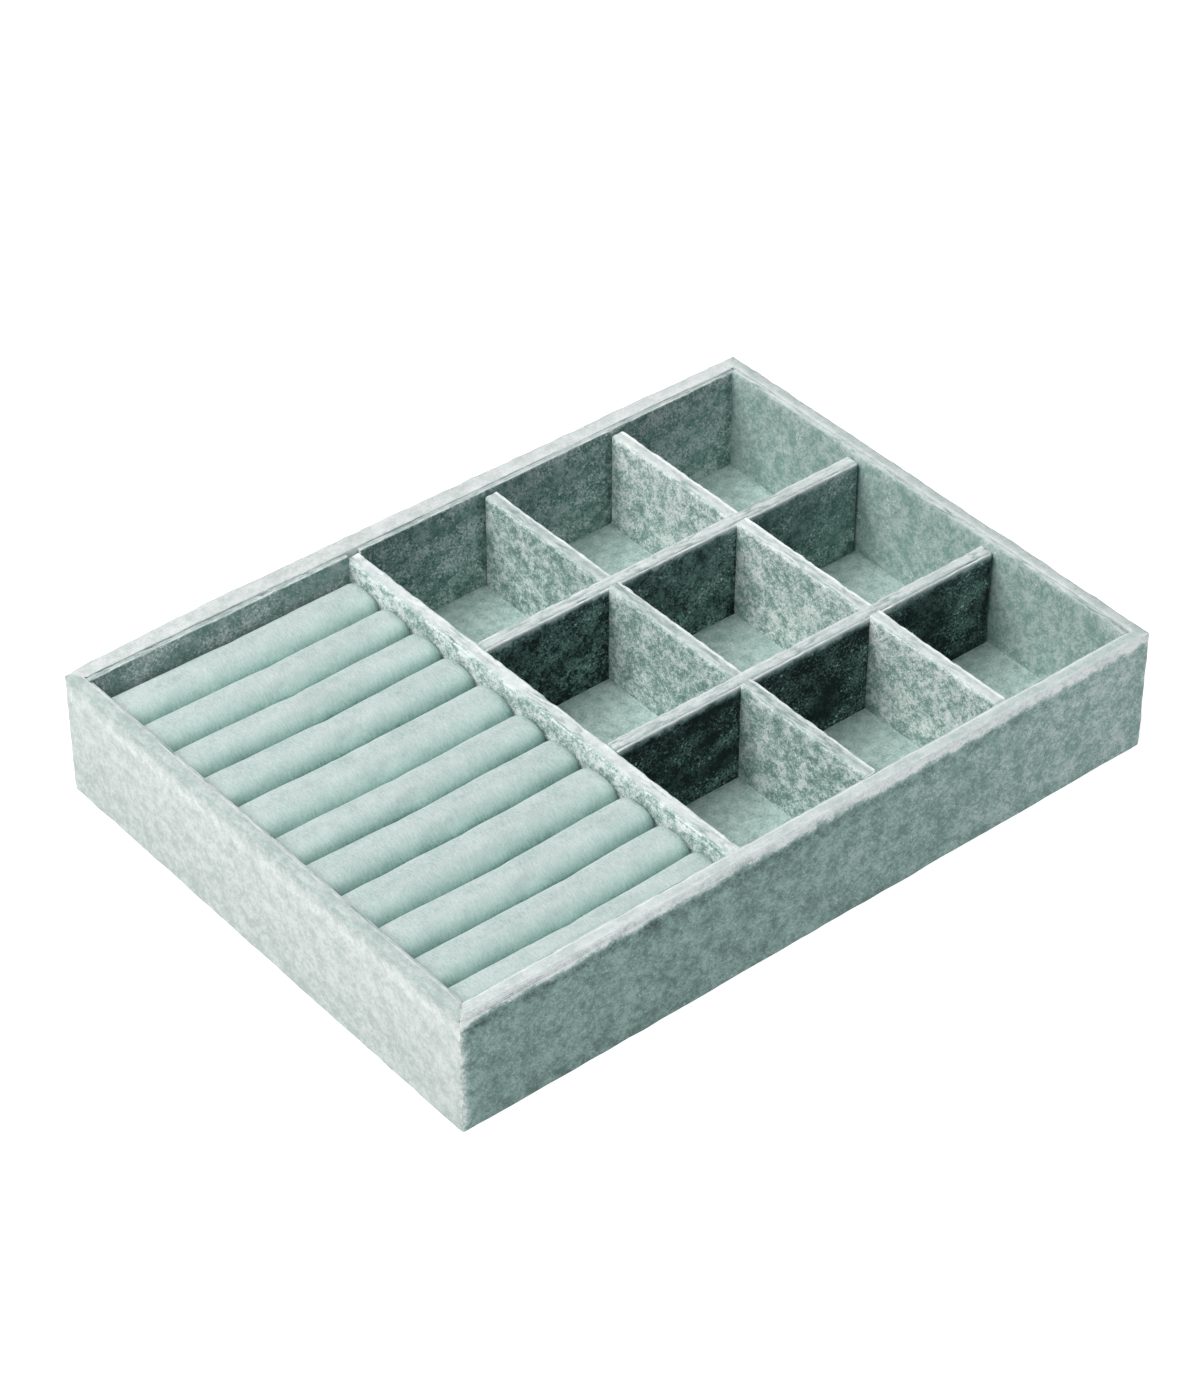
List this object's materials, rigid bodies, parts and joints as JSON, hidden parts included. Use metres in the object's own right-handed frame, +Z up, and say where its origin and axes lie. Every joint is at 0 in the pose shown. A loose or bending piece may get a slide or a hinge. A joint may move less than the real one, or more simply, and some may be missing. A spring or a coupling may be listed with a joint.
{
  "type": "jewelry tray",
  "caption": "Shallow velvet-covered rectangular tray with a lift-out bed of soft ring rolls at one side and a lift-out grid of dividers that makes open cells at the other.",
  "frame": {"origin": "middle of the underside, on the surface the tray stands on", "axes": "+X along the tray from the ring bed to the grid, +Y to the back, +Z up out of the tray"},
  "size_m": [0.29, 0.21, 0.048],
  "materials": {
    "crushed_velvet": "matte",
    "roll_velvet": "matte",
    "floor_suede": "matte",
    "underside_felt": "matte",
    "fibreboard": "matte",
    "greyboard": "matte",
    "foam": "matte"
  },
  "bodies": {
    "tray": {"base_board": "fibreboard", "front_wall_board": "fibreboard", "rear_wall_board": "fibreboard", "left_wall_board": "fibreboard", "right_wall_board": "fibreboard", "partition_board": "fibreboard", "outer_velvet": "crushed_velvet", "partition_velvet": "crushed_velvet", "underside_felt": "underside_felt", "floor_card": "greyboard", "floor_suede": "floor_suede", "ring_front_liner_card": "greyboard", "ring_front_liner_velvet": "crushed_velvet", "ring_rear_liner_card": "greyboard", "ring_rear_liner_velvet": "crushed_velvet", "grid_front_liner_card": "greyboard", "grid_front_liner_velvet": "crushed_velvet", "grid_rear_liner_card": "greyboard", "grid_rear_liner_velvet": "crushed_velvet", "left_liner_card": "greyboard", "left_liner_velvet": "crushed_velvet", "right_liner_card": "greyboard", "right_liner_velvet": "crushed_velvet"},
    "ring_bed": {"ring_bed_board": "greyboard", "ring_bed_foam_pad": "foam", "ring_roll_01_velvet": "roll_velvet", "ring_roll_01_foam": "foam", "ring_roll_02_velvet": "roll_velvet", "ring_roll_02_foam": "foam", "ring_roll_03_velvet": "roll_velvet", "ring_roll_03_foam": "foam", "ring_roll_04_velvet": "roll_velvet", "ring_roll_04_foam": "foam", "ring_roll_05_velvet": "roll_velvet", "ring_roll_05_foam": "foam", "ring_roll_06_velvet": "roll_velvet", "ring_roll_06_foam": "foam", "ring_roll_07_velvet": "roll_velvet", "ring_roll_07_foam": "foam", "ring_roll_08_velvet": "roll_velvet", "ring_roll_08_foam": "foam", "ring_roll_09_velvet": "roll_velvet", "ring_roll_09_foam": "foam", "ring_roll_10_velvet": "roll_velvet", "ring_roll_10_foam": "foam", "ring_roll_11_velvet": "roll_velvet", "ring_roll_11_foam": "foam"},
    "divider_grid": {"front_long_divider_board": "fibreboard", "front_long_divider_velvet": "crushed_velvet", "rear_long_divider_board": "fibreboard", "rear_long_divider_velvet": "crushed_velvet", "left_cross_divider_board": "fibreboard", "left_cross_divider_velvet": "crushed_velvet", "right_cross_divider_board": "fibreboard", "right_cross_divider_velvet": "crushed_velvet"}
  },
  "joints": [
    {"name": "ring_bed_lift", "type": "slide", "parent": "tray", "child": "ring_bed", "axis": [0, 0, 1], "range_m": [0, 0.05]},
    {"name": "divider_grid_lift", "type": "slide", "parent": "tray", "child": "divider_grid", "axis": [0, 0, 1], "range_m": [0, 0.05]}
  ]
}
